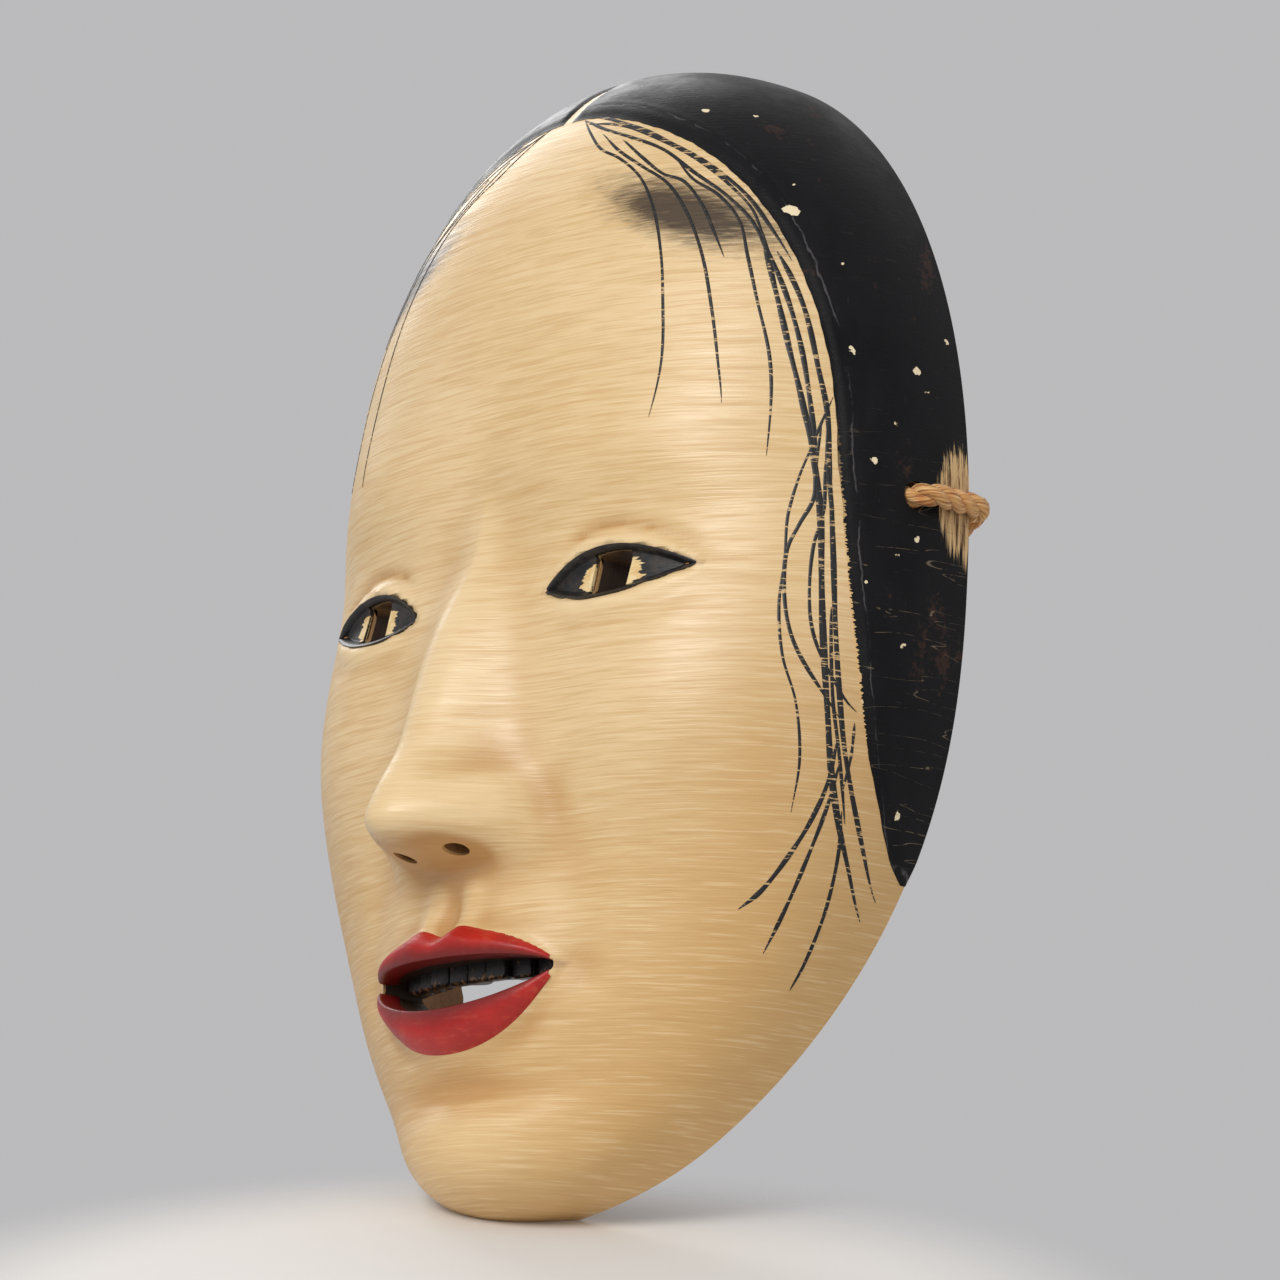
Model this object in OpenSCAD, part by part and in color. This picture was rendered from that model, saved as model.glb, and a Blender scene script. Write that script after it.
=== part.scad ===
// A carved wooden noh mask: a hollow cypress body, a pale ground coat over its
// front, black hair coats, painted lips, eyes and teeth, and a hanging cord that
// leaves through a hole at each temple and hangs behind the rim.
// Frame: +Z up, the face looks along -Y, and the back rim lies in the plane Y = 0.
// The origin is in that plane, halfway up the mask. "Depth" is always -Y.

/* [Mask] */
// Height of the mask, crown to chin
mask_h = 212; // [170:1:260]
// Width of the mask at the temples
mask_w = 138; // [112:1:170]
// Depth of the plain dome, rim plane to the cheeks' front
dome_depth = 50; // [44:0.5:62]
// Thickness of the wood behind the face
wood_t = 6.2; // [5:0.1:8]
// How far the rim rises forward under the chin
chin_lift = 26; // [18:0.5:34]
// Height of the carved features, as a share of their usual height
relief = 1; // [0.8:0.02:1.2]

/* [Coats] */
// Thickness of the pale ground coat
ground_t = 0.6; // [0.4:0.05:1]
// Thickness of the black hair coat
hair_t = 0.5; // [0.3:0.05:0.8]
// Thickness of the paint on the lips and eyes
paint_t = 0.25; // [0.15:0.05:0.5]
// Width of the bare parting between the two halves of the hair
parting_w = 2.6; // [1.5:0.1:5]

/* [Openings] */
// Width of the opening that is cut through each eye
pupil_w = 7.6; // [6:0.1:9]
// Diameter of each nostril
nostril_d = 4.2; // [3:0.1:5]
// Number of teeth
tooth_count = 8; // [6:2:10]
// How far the teeth hang down into the mouth
tooth_drop = 3.2; // [2.6:0.1:4]
// Thickness of the row of teeth, front to back
tooth_t = 4; // [3:0.1:5]

/* [Cord] */
// Diameter of the twisted cord
cord_d = 4; // [3:0.1:4.4]
// Diameter of the hole at each temple
hole_d = 5; // [4.6:0.1:6]
// Height of the holes above the middle of the mask
hole_z = 16; // [0:1:30]
// Distance of the holes from the rim plane
hole_back = 12; // [10:0.5:15]
// Diameter of the knots inside the mask
knot_d = 9.5; // [8:0.5:11]

/* [Hidden] */

// The face is laid out on a canon of these sizes and stretched to the mask's own.
canon_w = 138;
canon_h = 212;
kx = mask_w / canon_w;
kz = mask_h / canon_h;
crown_shift = 12;      // the widest level stands this far above the middle
cells_x = 34;          // facets across the mask
cells_z = 44;          // facets up the mask
dense_x = 0.35;        // how much the facets crowd towards the nose
dense_z = 0.30;        // and towards the eyes, nose and mouth
dense_mid = 0.35;      // where they crowd most, below the middle
joint_gap = 0.02;      // clearance between pieces that would otherwise share a wall
through = 200;         // longer than anything it cuts

// ---- the plain dome -------------------------------------------------------

function clamp(t, lo, hi) = min(max(t, lo), hi);
function smooth(a, b, t) = let (k = clamp((t - a) / (b - a), 0, 1)) k * k * (3 - 2 * k);
// A soft round hill of height 1 at (cx, cz), rx by rz wide; p above 2 flattens its top.
function hill(ax, z, cx, cz, rx, rz, p = 2) =
    exp(-pow(pow((ax - cx) / rx, 2) + pow((z - cz) / rz, 2), p / 2));

// Depth of the dome at the unit-disc place (X, Q), for a dome set in by "inset".
function rim_depth(X, Q) =
    let (s = max(norm([X, Q]), 1e-6)) chin_lift * pow(max(-Q / s, 0), 3);
function dome_z(Q, inset) = (canon_h / 2 - inset) * Q + crown_shift * (1 - Q * Q);
function dome_x(X, Q, inset) =
    let (low = max(-Q, 0))
    (canon_w / 2 - inset) * X * (1 + 0.34 * low * low * (1 - low) - 0.03 * pow(low, 3));
function dome_d(X, Q, inset) =
    let (s = min(norm([X, Q]), 1), n = 2.45 + max(-Q, 0), rim = rim_depth(X, Q))
    rim + (dome_depth - inset - rim) * pow(max(1 - pow(s, n), 0), 1 / n);

// ---- the features, in the canon's millimetres ------------------------------

// Eyes: two lids over one base line, from the inner to the outer corner.
eye_in = 17;
eye_out = 46.5;
eye_mid = 30.5;
eye_tilt = 2;          // how much the outer corner stands above the inner one
function eye_t(ax) = clamp((ax - eye_in) / (eye_out - eye_in), 0, 1);
function eye_up(ax) = eye_tilt * eye_t(ax) + 5.6 * pow(sin(180 * pow(eye_t(ax), 0.8)), 0.9);
function eye_lo(ax) = eye_tilt * eye_t(ax) - 3.4 * pow(sin(180 * pow(eye_t(ax), 0.92)), 0.95);

// Mouth: an opening round a line that rises a little to its corners, and two lips.
mouth_z = -66.5;
mouth_half = 22.5;
mouth_rise = 0.0032;
mouth_open = 3.6;       // how far the opening arches over its middle line
function mouth_t(ax) = clamp(ax / mouth_half, 0, 1);
function mouth_arch(ax) = sqrt(1 - pow(mouth_t(ax), 2));
function mouth_mid(ax) = mouth_z + mouth_rise * ax * ax;
function mouth_up(ax) = mouth_mid(ax) + mouth_open * mouth_arch(ax);
function mouth_lo(ax) = mouth_mid(ax) - 5.2 * pow(mouth_arch(ax), 1.2);
function lip_top(ax) = mouth_up(ax) + 5 * pow(1 - pow(mouth_t(ax), 2.4), 0.9)
    - exp(-pow(ax / 2.6, 2)) + 0.5 * exp(-pow((ax - 5.5) / 3, 2));
function lip_bottom(ax) = mouth_lo(ax) - 7.2 * pow(1 - pow(mouth_t(ax), 2.4), 0.8);

function brow_relief(ax, z) = 1.9 * hill(ax, z, 27, 24, 25, 12)
    - 1.2 * hill(ax, z, 56, 25, 12, 18);
function socket_relief(ax, z) = -5.2 * hill(ax, z, 31, 3, 21, 13)
    - 2.6 * hill(ax, z, 3, 10, 10, 11)
    + 4.6 * hill(ax, z, 31.5, 0.6, 16.5, 10.5, 2.2);
function nose_relief(ax, z) =
    let (run = clamp((20 - z) / 60, 0, 1),
         base = -48 + 0.02 * ax * ax,
         open = smooth(base, base + 11, z))
    12.5 * run * (1.3 - 0.3 * run) * open * exp(-pow(ax / (7.4 + 4.2 * run), 2.1))
    + 5.6 * pow(run, 1.3) * open * exp(-pow(ax / 17.5, 2.6))
    + 4.6 * hill(ax, z, 0, -38.5, 9.5, 8.5, 2.2)
    + 6.2 * hill(ax, z, 12.8, -40, 6.4, 6.6, 2.3);
// A lip's swell: q runs from 0 at the opening to 1 at the lip's outer edge.
function lip_roll(high, q, ax) =
    high * sqrt(1 - pow(mouth_t(ax), 2.2)) * exp(-pow((q - 0.42) / (q > 0.42 ? 0.54 : 0.75), 2));
function mouth_relief(ax, z) =
    7 * hill(ax, z, 0, -66, 28, 18, 2.3)
    - 1.3 * hill(ax, z, 0, -54.5, 2.6, 4.6)
    + 0.7 * hill(ax, z, 5, -55, 2.4, 5.5)
    - 1.3 * hill(ax, z, 26.5, -65, 5, 5)
    + lip_roll(3.2, (z - mouth_up(ax)) / max(lip_top(ax) - mouth_up(ax), 0.6), ax)
    + lip_roll(3.8, (mouth_lo(ax) - z) / max(mouth_lo(ax) - lip_bottom(ax), 0.6), ax);
function chin_relief(ax, z) = -2.4 * hill(ax, z, 0, -85, 18, 3.8)
    + 11 * hill(ax, z, 0, -97, 26, 13);
function cheek_relief(ax, z) = 4 * hill(ax, z, 38, -20, 19, 21)
    - hill(ax, z, 25, -50, 6, 12)
    - 0.8 * hill(ax, z, 44, -58, 14, 18);
function nose_tuck(ax, z) = -3.2 * hill(ax, z, 0, -39.5, 19, 5.5);
function front_relief(ax, z) = relief * (brow_relief(ax, z) + socket_relief(ax, z)
    + nose_relief(ax, z) + mouth_relief(ax, z) + chin_relief(ax, z) + cheek_relief(ax, z));
// The hollow is carved more simply: room for the nose, mouth and chin.
function hollow_relief(ax, z) = relief * (9 * hill(ax, z, 0, -28, 12, 18)
    - 2.5 * hill(ax, z, 31, 3, 19, 11)
    + 3 * hill(ax, z, 0, -66, 25, 15)
    + 5 * hill(ax, z, 0, -93, 18, 11));

// ---- points on the front, the hollow and the rim ----------------------------

// A square place (u, v) mapped to the unit disc, crowding evenly towards the rim.
function to_disc(u, v) =
    let (a = u * sqrt(1 - v * v / 2), b = v * sqrt(1 - u * u / 2),
         r = max(norm([a, b]), 1e-9), s = sin(90 * min(r, 1)))
    [a / r * s, b / r * s];
function crowd(t, amount, mid) =
    t - amount / PI * (sin(180 * (t + mid)) + sin(180 * mid));
function place(i, j) = to_disc(
    crowd(2 * i / cells_x - 1, dense_x, 0), crowd(2 * j / cells_z - 1, dense_z, dense_mid));

// A dome point with its feature's depth "lift" and drop "tuck", which fade at the rim.
function raised(x, d, z, lift, tuck) =
    let (front = smooth(18, 34, d))
    [x * kx, -(d + lift * front), (z + tuck * front) * kz];
function front_point(P) =
    let (x = dome_x(P.x, P.y, 0), z = dome_z(P.y, 0))
    raised(x, dome_d(P.x, P.y, 0), z, front_relief(abs(x), z), nose_tuck(abs(x), z));
function hollow_point(P, inset) =
    let (x = dome_x(P.x, P.y, inset), z = dome_z(P.y, inset))
    raised(x, dome_d(P.x, P.y, inset), z, hollow_relief(abs(x), z), 0);

function unit(v) = v / max(norm(v), 1e-9);
// The outward direction of the front; at the rim it stays in the rim's own plane.
function front_normal(P) =
    let (e = 0.001, on_rim = norm(P) > 1 - e, M = P * min(1, (1 - 2 * e) / max(norm(P), e)),
         n = unit(cross(front_point(M + [e, 0]) - front_point(M - [e, 0]),
             front_point(M + [0, e]) - front_point(M - [0, e]))))
    on_rim ? unit([n.x, 0, n.z]) : n;
function coat_point(P, out) = front_point(P) + out * front_normal(P);

// The unit-disc place over the canon's (x, z), and the front's depth there.
function disc_at(x, z) =
    let (h = canon_h / 2,
         Q = (h - sqrt(h * h - 4 * crown_shift * (z - crown_shift))) / (2 * crown_shift))
    [x / dome_x(1, Q, 0), Q];
function front_depth(x, z) = -front_point(disc_at(x, z)).y;

// ---- building blocks --------------------------------------------------------

// A closed body between two sheets of points, each a list of equal rows.
module between(near, far) {
    rows = len(near);
    cols = len(near[0]);
    count = rows * cols;
    function at(i, j) = i * cols + j;
    points = [for (row = near) each row, for (row = far) each row];
    near_faces = [for (i = [0 : rows - 2], j = [0 : cols - 2]) each
        [[at(i, j), at(i + 1, j + 1), at(i + 1, j)], [at(i, j), at(i, j + 1), at(i + 1, j + 1)]]];
    far_faces = [for (f = near_faces) [count + f[0], count + f[2], count + f[1]]];
    edge = concat(
        [for (i = [0 : rows - 2]) at(i, 0)], [for (j = [0 : cols - 2]) at(rows - 1, j)],
        [for (i = [rows - 1 : -1 : 1]) at(i, cols - 1)], [for (j = [cols - 1 : -1 : 1]) at(0, j)]);
    n = len(edge);
    walls = [for (k = [0 : n - 1]) let (a = edge[k], b = edge[(k + 1) % n]) each
        [[a, b, count + a], [b, count + b, count + a]]];
    polyhedron(points = points, faces = concat(near_faces, far_faces, walls));
}

// The front raised by "out" along its own normal, whole or over a range of the grid.
function front_sheet(out, i0 = 0, i1 = cells_x, j0 = 0, j1 = cells_z) =
    [for (i = [i0 : i1]) [for (j = [j0 : j1]) coat_point(place(i, j), out)]];
function hollow_sheet(inset) =
    [for (i = [0 : cells_x]) [for (j = [0 : cells_z]) hollow_point(place(i, j), inset)]];

// A prism along Y over an outline given in the canon's (x, z).
module along_depth(outline, near, far) {
    translate([0, -near, 0]) rotate([90, 0, 0])
        linear_extrude(height = far - near)
            polygon([for (p = outline) [p.x * kx, p.y * kz]]);
}

// The outline between an upper and a lower line of z, both functions of x.
function band(xs, top, bottom) =
    concat([for (k = [0 : len(xs) - 1]) [xs[k], bottom[k]]],
           [for (k = [len(xs) - 1 : -1 : 0]) [xs[k], top[k]]]);
function across(a, b, steps) = [for (k = [0 : steps]) a + (b - a) * k / steps];

// ---- what is cut through the mask ------------------------------------------

mouth_xs = across(-mouth_half + 0.6, mouth_half - 0.6, 18);
mouth_outline = band(mouth_xs,
    [for (x = mouth_xs) mouth_up(abs(x))], [for (x = mouth_xs) mouth_lo(abs(x))]);

function pupil_outline(side) =
    let (xs = across(eye_mid - pupil_w / 2, eye_mid + pupil_w / 2, 4))
    band([for (x = xs) side * x],
        [for (x = xs) eye_up(x) - 0.7], [for (x = xs) eye_lo(x) + 0.5]);

module mouth_cut() along_depth(mouth_outline, 35, through / 2);
module pupil_cut(side) along_depth(pupil_outline(side), 30, through / 2);
// Each nostril is bored up into the nose from in front of the groove under it.
nostril_x = 6.6;
nostril_z = -50.5;      // the height at which the bore starts
nostril_ahead = 4;      // and how far in front of the groove
nostril_lean = 42;      // degrees that the bore leans back from the vertical
nostril_long = 26;
groove_z = -52.5;       // the level of the groove between the nose and the mouth
module nostril_cut(side) {
    depth = front_depth(nostril_x, groove_z) + nostril_ahead;
    translate([side * nostril_x * kx, -depth, nostril_z * kz]) rotate([-nostril_lean, 0, 0])
        cylinder(d = nostril_d, h = nostril_long, $fn = 32);
}
module cord_cut(side) {
    translate([side * mask_w / 4, -hole_back, hole_z]) rotate([0, side * 90, 0])
        cylinder(d = hole_d, h = mask_w / 2, $fn = 40);
}
module all_cuts() {
    mouth_cut();
    for (side = [-1, 1]) {
        pupil_cut(side);
        nostril_cut(side);
        cord_cut(side);
    }
}

// ---- the mask's own pieces --------------------------------------------------

module wood_core() {
    color([0.62, 0.45, 0.27]) difference() {
        between(front_sheet(-ground_t), hollow_sheet(ground_t + wood_t));
        all_cuts();
    }
}

module ground_coat() {
    color([0.85, 0.70, 0.45]) difference() {
        between(front_sheet(0), front_sheet(-ground_t));
        all_cuts();
    }
}

// Hair: the part of the front outside the hairline, on one side of the parting.
// The hairline's distance from the middle depends on the angle round the face.
hair_end = -33;         // degrees below the middle where the hair runs out at the rim
function hairline(phi) = 0.735 - 0.11 * smooth(10, 75, phi)
    + 0.265 * pow(clamp((6 - phi) / 42, 0, 1), 1.6);
hair_rows = 42;         // steps along the hairline
hair_depth = 6;         // steps from the hairline to the rim
function disc_at_angle(r, phi) = sin(90 * r) * [cos(phi), sin(phi)];
// A sheet over the hair of one side, raised by "out", that runs past the rim.
function hair_sheet(side, out) =
    let (half = asin(parting_w / kx / canon_w))
    [for (k = [0 : hair_rows])
        let (phi = hair_end + (90 - half - hair_end) * k / hair_rows, r0 = min(hairline(phi), 1),
             row = [for (m = [0 : hair_depth])
                 coat_point(disc_at_angle(r0 + (1 - r0) * m / hair_depth, phi), out)])
        [for (p = concat(row, [row[hair_depth] + [0, 5, 0]])) [side * p.x, p.y, p.z]]];

module hair(side) {
    color([0.05, 0.05, 0.06]) difference() {
        intersection() {
            between(front_sheet(hair_t), front_sheet(0));
            between(hair_sheet(side, side * -3), hair_sheet(side, side * 3));
        }
        cord_cut(side);
    }
}

// A layer of paint over part of the front: columns i0 to i1 and rows j0 to j1 of the grid.
module paint(i0, i1, j0, j1) {
    between(front_sheet(paint_t, i0, i1, j0, j1), front_sheet(0, i0, i1, j0, j1));
}

module lip(outline) {
    color([0.55, 0.10, 0.07]) intersection() {
        paint(i0 = 8, i1 = cells_x - 8, j0 = 1, j1 = 20);
        along_depth(outline, 30, through / 2);
    }
}
lip_end = 0.8;          // the lips stop this far from the corners of the mouth
lip_xs = across(-mouth_half + lip_end, mouth_half - lip_end, 18);
module upper_lip() {
    lip(band(lip_xs, [for (x = lip_xs) lip_top(abs(x)) + joint_gap],
        [for (x = lip_xs) mouth_up(abs(x))]));
}
module lower_lip() {
    lip(band(lip_xs, [for (x = lip_xs) mouth_lo(abs(x))],
        [for (x = lip_xs) lip_bottom(abs(x)) - joint_gap]));
}

module eye(side) {
    xs = across(eye_in + 0.6, eye_out - 0.6, 14);
    color([0.06, 0.06, 0.07]) difference() {
        intersection() {
            paint(i0 = 1, i1 = cells_x - 1, j0 = 17, j1 = 31);
            along_depth(band([for (x = xs) side * x],
                [for (x = xs) eye_up(x) + joint_gap], [for (x = xs) eye_lo(x) - joint_gap]),
                20, through / 2);
        }
        pupil_cut(side);
    }
}

// Teeth: a curved bar behind the upper lip with a round front on every tooth.
tooth_inset = 5.2;      // how far the teeth's faces stand behind the upper lip's front
tooth_root = 3;         // how far they run up behind the opening's top
upper_lip_z = -57.5;    // the level at which the upper lip's front is taken
teeth_row = 0.85;       // the row's width as a share of the opening's
teeth_steps = 20;       // steps along the curved bar
module teeth() {
    bottom = (mouth_z + mouth_open - tooth_drop) * kz;
    top = (mouth_z + mouth_open) * kz + tooth_root;
    row = across(-mouth_half, mouth_half, teeth_steps);
    pitch = 2 * teeth_row * mouth_half * kx / tooth_count;
    function face_d(x) = front_depth(x, upper_lip_z) - tooth_inset;
    bar = concat([for (x = row) [x * kx, -face_d(x) + 1]],
        [for (k = [teeth_steps : -1 : 0]) [row[k] * kx, -face_d(row[k]) + tooth_t]]);
    color([0.09, 0.09, 0.10]) intersection() {
        union() {
            translate([0, 0, bottom]) linear_extrude(height = top - bottom) polygon(bar);
            for (k = [0 : tooth_count - 1]) {
                x = (k - (tooth_count - 1) / 2) * pitch;
                translate([x, -face_d(x / kx) + pitch / 2, bottom])
                    cylinder(r = pitch / 2, h = top - bottom, $fn = 32);
            }
        }
        offset_mouth();
    }
}
// The mouth's opening, taken in a little so that the teeth stand clear of the wood.
module offset_mouth() {
    along_depth(band(mouth_xs,
        [for (x = mouth_xs) mouth_up(abs(x)) - joint_gap],
        [for (x = mouth_xs) mouth_lo(abs(x)) + joint_gap]), 35, through / 2);
}

// ---- the hanging cord ---------------------------------------------------------

// One side of the cord's centreline, from the knot out through the hole, round the
// rim and down behind the mask to its lowest point, chosen by hand at the usual size.
cord_side = [
    [60.5, -12, 16], [64.5, -12, 16], [68.6, -12, 16], [70.6, -11.2, 16],
    [71.4, -9.2, 16], [71.4, -5, 16], [71.4, -0.6, 16], [70.6, 1.4, 15.9],
    [68.6, 2.3, 15.5], [64, 2.8, 13.2], [57, 3.2, 8.6], [49, 3.6, 3], [41, 3.9, -2.4],
    [32.5, 4.1, -7.4], [24.5, 4.2, -11.5], [16, 4.3, -14.8], [8, 4.4, -17]];
cord_route = concat(cord_side, [[0, 4.4, -17.8]],
    [for (k = [len(cord_side) - 1 : -1 : 0]) [-cord_side[k].x, cord_side[k].y, cord_side[k].z]]);
cord_sides = 10;

function heading(path, k) =
    unit(path[min(k + 1, len(path) - 1)] - path[max(k - 1, 0)]);
// A ring of points round the path; the side direction stays level with +Z.
function ring(path, k, r) =
    let (t = heading(path, k), a = unit(cross(t, [0.05, 0.2, 1])), b = cross(a, t))
    [for (m = [0 : cord_sides - 1]) let (w = 360 * m / cord_sides)
        path[k] + r * (cos(w) * a + sin(w) * b)];

module tube(path, r) {
    n = len(path);
    points = [for (k = [0 : n - 1]) each ring(path, k, r)];
    function at(k, m) = k * cord_sides + m % cord_sides;
    skin = [for (k = [0 : n - 2], m = [0 : cord_sides - 1]) each
        [[at(k, m), at(k + 1, m + 1), at(k + 1, m)], [at(k, m), at(k, m + 1), at(k + 1, m + 1)]]];
    ends = [[for (m = [cord_sides - 1 : -1 : 0]) m],
        [for (m = [0 : cord_sides - 1]) at(n - 1, m)]];
    polyhedron(points = points, faces = concat(skin, ends));
}

module cord() {
    color([0.72, 0.50, 0.28]) tube(cord_route, cord_d / 2);
}

// A stopper knot: a barrel round the cord's axis with its flat face at the cord's end.
knot_profile = [[0, 0], [cord_d / 2, 0], [0.38 * knot_d, 0.6], [knot_d / 2, 2.2],
    [knot_d / 2, 0.58 * knot_d], [0.4 * knot_d, 0.8 * knot_d], [0.22 * knot_d, 0.9 * knot_d],
    [0, 0.9 * knot_d]];
module knot(side) {
    color([0.70, 0.48, 0.27])
        translate([side * cord_side[0].x, cord_side[0].y, cord_side[0].z])
            rotate([0, -side * 90, 0]) rotate_extrude($fn = 40) polygon(knot_profile);
}

wood_core();
ground_coat();
hair(1);  // hair_left
hair(-1);  // hair_right
upper_lip();
lower_lip();
eye(1);  // eye_left
eye(-1);  // eye_right
teeth();
cord();
knot(1);  // knot_left
knot(-1);  // knot_right
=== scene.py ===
# A carved and painted noh mask, seen from a little below its left cheek. The script
# lays the cord first, then builds the mask as its maker does: the carved wood, the
# ground coat, the black hair, the loose strands, the lips, the eyes and the teeth.
import bmesh
import bpy
import numpy as np
from math import cos, pi, radians, sin
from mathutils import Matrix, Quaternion, Vector


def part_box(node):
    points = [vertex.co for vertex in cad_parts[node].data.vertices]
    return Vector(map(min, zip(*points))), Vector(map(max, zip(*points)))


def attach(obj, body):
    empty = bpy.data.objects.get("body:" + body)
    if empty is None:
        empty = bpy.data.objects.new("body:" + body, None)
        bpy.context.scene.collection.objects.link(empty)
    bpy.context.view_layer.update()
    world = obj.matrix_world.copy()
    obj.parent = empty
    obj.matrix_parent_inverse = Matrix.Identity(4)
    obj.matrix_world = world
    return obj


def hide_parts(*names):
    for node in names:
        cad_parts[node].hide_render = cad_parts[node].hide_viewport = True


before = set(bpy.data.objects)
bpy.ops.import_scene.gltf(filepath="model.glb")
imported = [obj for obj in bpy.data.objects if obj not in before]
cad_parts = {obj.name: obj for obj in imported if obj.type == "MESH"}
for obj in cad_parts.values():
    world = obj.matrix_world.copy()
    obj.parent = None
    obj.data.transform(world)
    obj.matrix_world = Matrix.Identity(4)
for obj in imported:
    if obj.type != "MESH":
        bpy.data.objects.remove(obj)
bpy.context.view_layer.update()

# ---- Camera -----------------------------------------------------------------------
# A long lens stands in front of the mask's left side, below its middle, and is
# rolled a little. It aims beside the mask, so that the mask stands left of centre.
mask_middle = Vector((0, -0.030, 0))
turn, rise, roll = radians(48), radians(-13), radians(1.94)
towards_camera = Vector((sin(turn) * cos(rise), -cos(turn) * cos(rise), sin(rise)))
roll_turn = Quaternion((0, 0, 1), roll)
level = (-towards_camera).to_track_quat("-Z", "Y") @ roll_turn
camera_right = level @ Vector((1, 0, 0))
camera_up = level @ Vector((0, 1, 0))
aim = mask_middle + 0.0137 * camera_right - 0.0024 * camera_up

camera = bpy.data.objects.new("camera", bpy.data.cameras.new("camera"))
camera.data.lens = 152
camera.data.clip_start = 0.05
camera.location = mask_middle + 0.95 * towards_camera
camera.rotation_mode = "QUATERNION"
camera.rotation_quaternion = (aim - camera.location).to_track_quat("-Z", "Y") @ roll_turn
bpy.context.scene.collection.objects.link(camera)
bpy.context.scene.camera = camera

# ---- Hanging cord -----------------------------------------------------------------
# A limp hemp cord of three strands laid together. It leaves the mask through a hole
# at each temple, turns round the rim and sags behind the mask to its middle.
MM = 0.001
cord_side = [(57, -12, 16), (60.5, -12, 16), (64.5, -12, 16), (68.6, -12, 16), (70.6, -11.2, 16),
             (71.4, -9.2, 16), (71.4, -5, 16), (71.4, -0.6, 16), (70.6, 1.4, 15.9),
             (68.6, 2.3, 15.5), (64, 2.8, 13.2), (57, 3.2, 8.6), (49, 3.6, 3), (41, 3.9, -2.4),
             (32.5, 4.1, -7.4), (24.5, 4.2, -11.5), (16, 4.3, -14.8), (8, 4.4, -17)]
cord_route = cord_side + [(0, 4.4, -17.8)] + [(-x, y, z) for x, y, z in reversed(cord_side)]
strand_thick = 2.2       # one of the three strands
strand_out = 0.96        # from the cord's middle to a strand's middle
lay_length = 10.5        # one full turn of the strands
fibre_turn = 11.0        # one full turn of the fibres in a strand


def unit(rows):
    return rows / np.maximum(np.linalg.norm(rows, axis=-1, keepdims=True), 1e-9)


def run_along(line):
    steps = np.linalg.norm(np.diff(line, axis=0), axis=1)
    return np.concatenate([[0], np.cumsum(steps)])


def smooth_route(points, spacing):
    """Even points on a curve that passes smoothly through the route's own points."""
    p = np.array(points, float)
    p = np.vstack([2 * p[0] - p[1], p, 2 * p[-1] - p[-2]])
    t = np.linspace(0, 1, 16, endpoint=False)[:, None]
    spans = [0.5 * (2 * b + (c - a) * t + (2 * a - 5 * b + 4 * c - d) * t**2
                    + (3 * b - a - 3 * c + d) * t**3)
             for a, b, c, d in zip(p, p[1:], p[2:], p[3:])]
    line = np.vstack(spans + [p[-2:-1]])
    run = run_along(line)
    even = np.linspace(0, run[-1], round(run[-1] / spacing) + 1)
    return np.stack([np.interp(even, run, line[:, k]) for k in range(3)], axis=1)


def square_to(line):
    """Two directions square to a line at each of its points, without needless twist."""
    along = unit(np.gradient(line, axis=0))
    side = np.cross(along[0], (0.1, 0.3, 1.0))
    sides = []
    for t in along:
        side = unit(side - t * (side @ t))
        sides.append(side)
    sides = np.array(sides)
    return sides, np.cross(along, sides)


def spin_yarn(bm, line, thick, sides=12):
    """A closed round yarn along a line in mm. Its UV follows the twisted fibres."""
    yarn_uv = bm.loops.layers.uv.verify()
    a, b = square_to(line)
    run = run_along(line)
    last = len(line) - 1
    verts = bmesh.ops.create_grid(bm, x_segments=sides, y_segments=last, size=0.5)["verts"]
    for face in {f for v in verts for f in v.link_faces}:
        for corner in face.loops:
            x, y, _ = corner.vert.co
            far = run[round((y + 0.5) * last)]
            corner[yarn_uv].uv = (x + 0.5 + far / fibre_turn, far)
    wide = np.broadcast_to(thick, len(line)) / 2
    for v in verts:
        k, angle = round((v.co.y + 0.5) * last), 2 * pi * v.co.x
        v.co = (line[k] + wide[k] * (cos(angle) * a[k] + sin(angle) * b[k])) * MM
    bmesh.ops.remove_doubles(bm, verts=verts, dist=1e-7)
    ends = [e for v in verts if v.is_valid for e in v.link_edges if e.is_boundary]
    bmesh.ops.holes_fill(bm, edges=list(set(ends)), sides=0)


def lay_rope(bm, line, thick, out, lay):
    """Three yarns wound round a line in mm."""
    a, b = square_to(line)
    for k in range(3):
        angle = 2 * pi * (run_along(line) / lay + k / 3)[:, None]
        spin_yarn(bm, line + out * (np.cos(angle) * a + np.sin(angle) * b), thick)


def fray(bm, line, count, long, stand_off, chance):
    """Fine stray fibres that lift off a rope."""
    a, b = square_to(line)
    along = unit(np.gradient(line, axis=0))
    for _ in range(count):
        k = chance.integers(0, len(line))
        angle, lean = chance.uniform(0, 2 * pi), chance.uniform(-0.8, 0.8)
        out = cos(angle) * a[k] + sin(angle) * b[k]
        across = -sin(angle) * a[k] + cos(angle) * b[k]
        t = np.linspace(0, 1, 5)[:, None] * chance.uniform(0.5, 1) * long
        path = (line[k] + 1.75 * out + (along[k] + lean * across) * t
                + out * stand_off * chance.uniform(0.2, 1) * (t / long)**1.5)
        spin_yarn(bm, path, 0.09, sides=4)


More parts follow.
